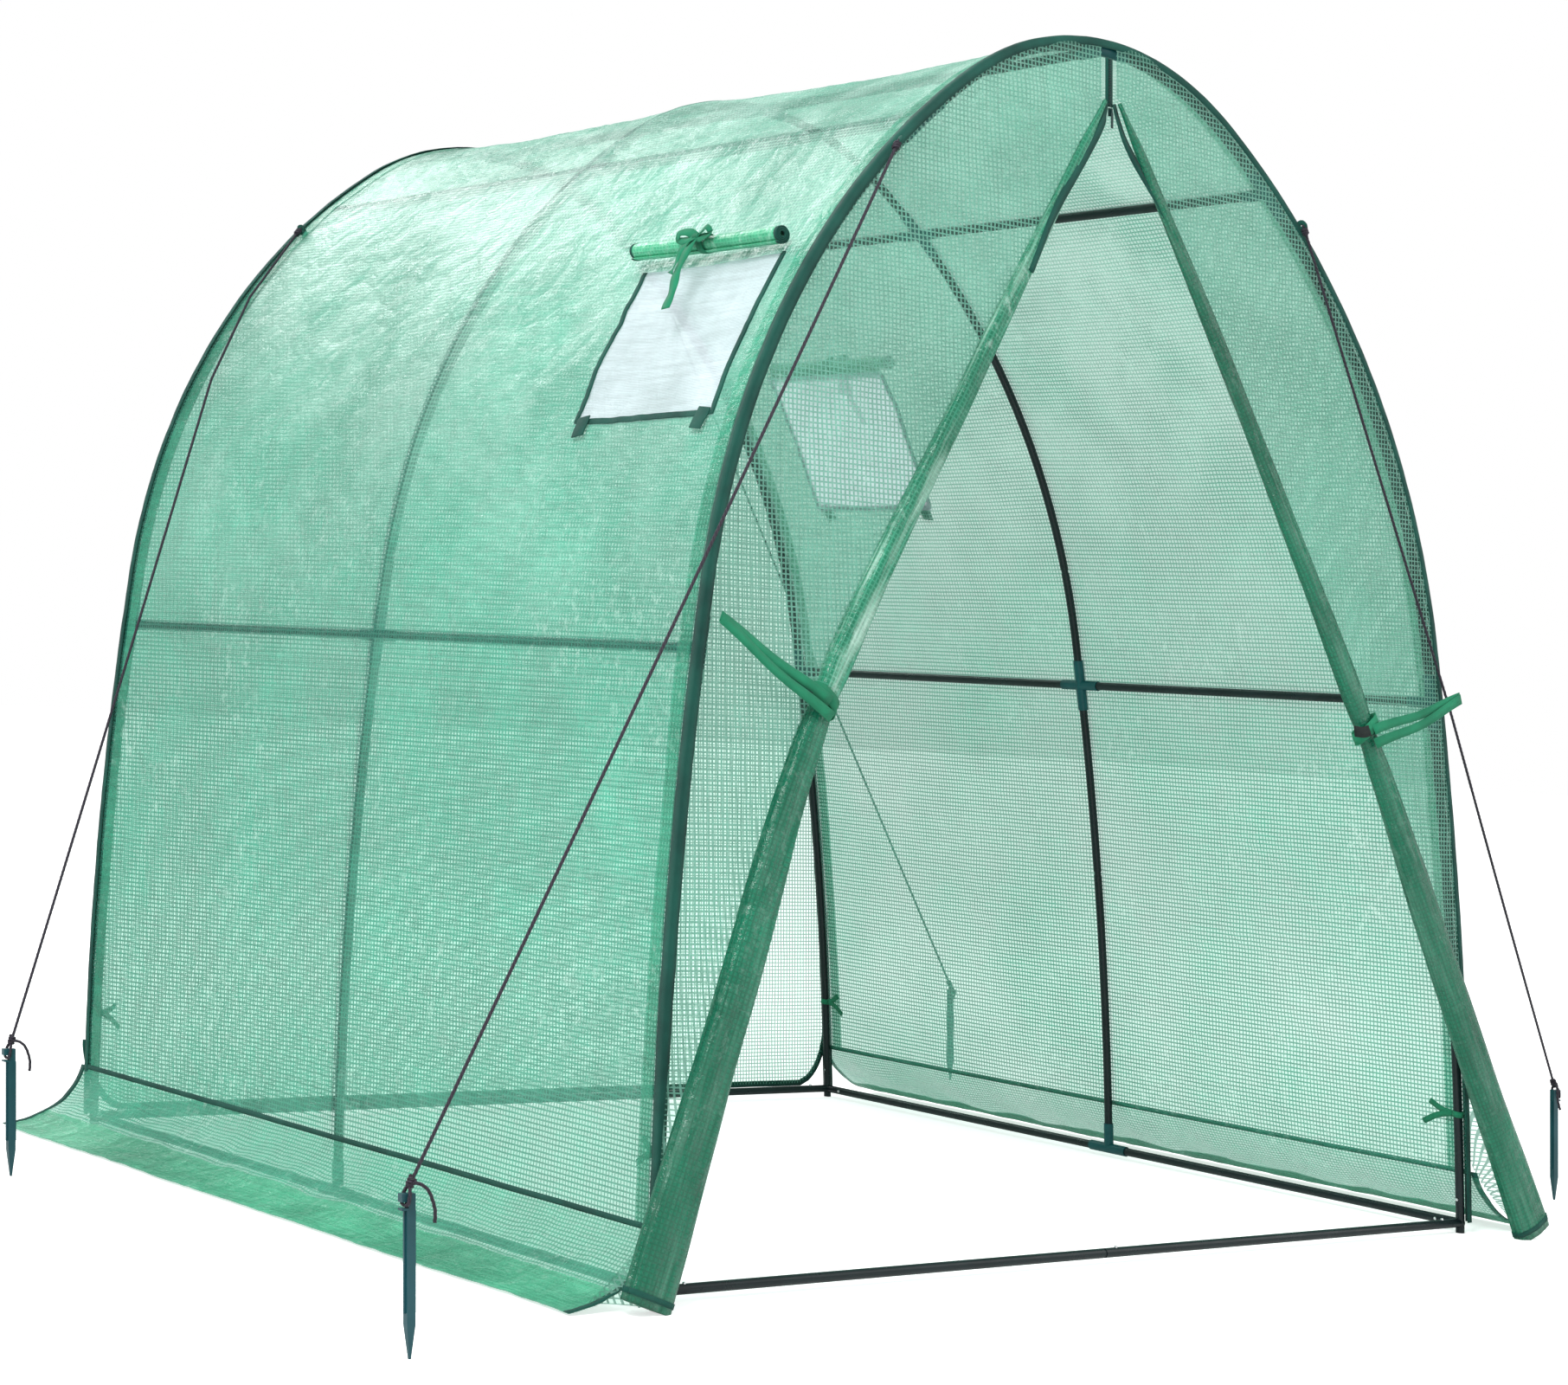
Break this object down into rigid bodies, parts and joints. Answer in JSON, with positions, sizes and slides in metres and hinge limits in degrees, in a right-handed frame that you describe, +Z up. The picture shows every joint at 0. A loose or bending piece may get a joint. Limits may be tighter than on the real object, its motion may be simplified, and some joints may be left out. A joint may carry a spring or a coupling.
{
  "type": "walk-in tunnel greenhouse",
  "caption": "Walk-in tunnel greenhouse: tube hoops under a woven see-through cover, tied-back door flaps, roll-up window flaps, ground skirts and staked guy ropes.",
  "frame": {"origin": "centre of the footprint on the ground, midway between the outermost guy-rope stakes", "axes": "+X across the width (right when looking in through the door), +Y from the door end to the back, +Z up; the door end faces -Y"},
  "size_m": [2.889, 2.17, 1.9945],
  "materials": {
    "frame_tube": "satin",
    "corner_steel": "satin",
    "connector": "satin",
    "spring_steel": "satin",
    "cover_mesh": "gloss",
    "binding": "matte",
    "roll_mesh": "gloss",
    "screen_mesh": "matte",
    "green_strap": "matte",
    "rope": "matte",
    "stake_plastic": "satin",
    "zip_metal": "satin"
  },
  "bodies": {
    "frame": {"front_hoop_legs": "frame_tube", "front_hoop_side_tubes": "frame_tube", "front_hoop_top_arcs": "frame_tube", "middle_hoop_legs": "frame_tube", "middle_hoop_side_tubes": "frame_tube", "middle_hoop_top_arcs": "frame_tube", "rear_hoop_legs": "frame_tube", "rear_hoop_side_tubes": "frame_tube", "rear_hoop_top_arcs": "frame_tube", "mid_purlins": "frame_tube", "upper_purlins": "frame_tube", "ridge_purlins": "frame_tube", "side_rails": "frame_tube", "front_rail": "frame_tube", "rear_rail": "frame_tube", "corner_front_left": "corner_steel", "corner_front_right": "corner_steel", "corner_rear_left": "corner_steel", "corner_rear_right": "corner_steel", "front_connectors": "connector", "middle_connectors": "connector", "rear_connectors": "connector", "base_tees": "connector", "cover": "cover_mesh", "side_hems": "binding", "ground_skirt_left": "cover_mesh", "ground_skirt_right": "cover_mesh", "front_arch_binding": "binding", "rear_arch_binding": "binding", "rear_panel": "cover_mesh", "front_panel_left": "cover_mesh", "front_panel_right": "cover_mesh", "zip_closed_tape": "binding", "window_screen_left": "screen_mesh", "window_screen_right": "screen_mesh", "window_bindings": "binding", "window_tabs": "binding", "leg_ties": "green_strap"},
    "door_left": {"door_roll_left": "roll_mesh", "zip_tape_left": "binding"},
    "door_right": {"door_roll_right": "roll_mesh", "zip_tape_right": "binding"},
    "door_strap_left": {"door_strap_left": "green_strap"},
    "door_strap_right": {"door_strap_right": "green_strap"},
    "zip_slider": {"zip_slider": "zip_metal"},
    "window_flap_left": {"window_roll_left": "roll_mesh", "window_tie_left": "green_strap"},
    "window_flap_right": {"window_roll_right": "roll_mesh", "window_tie_right": "green_strap"},
    "buttons_left": {"spring_buttons_left": "spring_steel"},
    "buttons_right": {"spring_buttons_right": "spring_steel"},
    "buttons_ends": {"spring_buttons_ends": "spring_steel"},
    "rope_front_left": {"guy_rope_front_left": "rope"},
    "stake_front_left": {"stake_front_left": "stake_plastic"},
    "rope_front_right": {"guy_rope_front_right": "rope"},
    "stake_front_right": {"stake_front_right": "stake_plastic"},
    "rope_rear_left": {"guy_rope_rear_left": "rope"},
    "stake_rear_left": {"stake_rear_left": "stake_plastic"},
    "rope_rear_right": {"guy_rope_rear_right": "rope"},
    "stake_rear_right": {"stake_rear_right": "stake_plastic"}
  },
  "joints": [
    {"name": "door_left_swing", "type": "hinge", "parent": "frame", "child": "door_left", "pos_m": [0, -0.938, 1.95], "axis": [0, -1, 0], "range_deg": [0, 11]},
    {"name": "door_right_swing", "type": "hinge", "parent": "frame", "child": "door_right", "pos_m": [0, -0.938, 1.95], "axis": [0, 1, 0], "range_deg": [0, 11]},
    {"name": "zip_slide", "type": "slide", "parent": "frame", "child": "zip_slider", "axis": [0, 0, -1], "range_m": [0, 0.022]},
    {"name": "door_strap_left_drop", "type": "hinge", "parent": "door_left", "child": "door_strap_left", "pos_m": [-0.62, -0.957, 0.89], "axis": [0, -1, 0], "range_deg": [0, 50]},
    {"name": "door_strap_right_drop", "type": "hinge", "parent": "door_right", "child": "door_strap_right", "pos_m": [0.6, -0.957, 0.9], "axis": [0, 1, 0], "range_deg": [0, 50]},
    {"name": "window_flap_left_roll_down", "type": "hinge", "parent": "frame", "child": "window_flap_left", "pos_m": [0.46173, 0, 0.84058], "axis": [0, -1, 0], "range_deg": [0, 12.5]},
    {"name": "window_flap_right_roll_down", "type": "hinge", "parent": "frame", "child": "window_flap_right", "pos_m": [-0.46173, 0, 0.84058], "axis": [0, 1, 0], "range_deg": [0, 12.5]},
    {"name": "rope_front_left_lift", "type": "hinge", "parent": "frame", "child": "rope_front_left", "pos_m": [-0.45645, -0.924, 1.75876], "axis": [0, 1, 0], "range_deg": [0, 20]},
    {"name": "stake_front_left_turn", "type": "hinge", "parent": "rope_front_left", "child": "stake_front_left", "pos_m": [-1.43, -1.08, 0.226], "axis": [0, -1, 0], "range_deg": [-25, 35]},
    {"name": "rope_front_right_lift", "type": "hinge", "parent": "frame", "child": "rope_front_right", "pos_m": [0.45645, -0.924, 1.75876], "axis": [0, -1, 0], "range_deg": [0, 20]},
    {"name": "stake_front_right_turn", "type": "hinge", "parent": "rope_front_right", "child": "stake_front_right", "pos_m": [1.43, -0.7, 0.226], "axis": [0, 1, 0], "range_deg": [-25, 35]},
    {"name": "rope_rear_left_lift", "type": "hinge", "parent": "frame", "child": "rope_rear_left", "pos_m": [-0.46281, 0.885, 1.76512], "axis": [0, 1, 0], "range_deg": [0, 20]},
    {"name": "stake_rear_left_turn", "type": "hinge", "parent": "rope_rear_left", "child": "stake_rear_left", "pos_m": [-1.3, 0.4, 0.226], "axis": [0, -1, 0], "range_deg": [-25, 35]},
    {"name": "rope_rear_right_lift", "type": "hinge", "parent": "frame", "child": "rope_rear_right", "pos_m": [0.45645, 0.924, 1.75876], "axis": [0, -1, 0], "range_deg": [0, 20]},
    {"name": "stake_rear_right_turn", "type": "hinge", "parent": "rope_rear_right", "child": "stake_rear_right", "pos_m": [1.43, 1.08, 0.226], "axis": [0, 1, 0], "range_deg": [-25, 35]},
    {"name": "buttons_left_press", "type": "slide", "parent": "frame", "child": "buttons_left", "axis": [-1, 0, 0], "range_m": [0, 0.0025], "stiffness_N_per_m": 400},
    {"name": "buttons_right_press", "type": "slide", "parent": "frame", "child": "buttons_right", "axis": [1, 0, 0], "range_m": [0, 0.0025], "stiffness_N_per_m": 400},
    {"name": "buttons_ends_press", "type": "slide", "parent": "frame", "child": "buttons_ends", "axis": [0, 0, -1], "range_m": [0, 0.0025], "stiffness_N_per_m": 400}
  ],
  "couplings": [
    {"joint": "door_right_swing", "follows": "door_left_swing", "ratio": 1},
    {"joint": "zip_slide", "follows": "door_left_swing", "m_per_rad": 0.114}
  ]
}
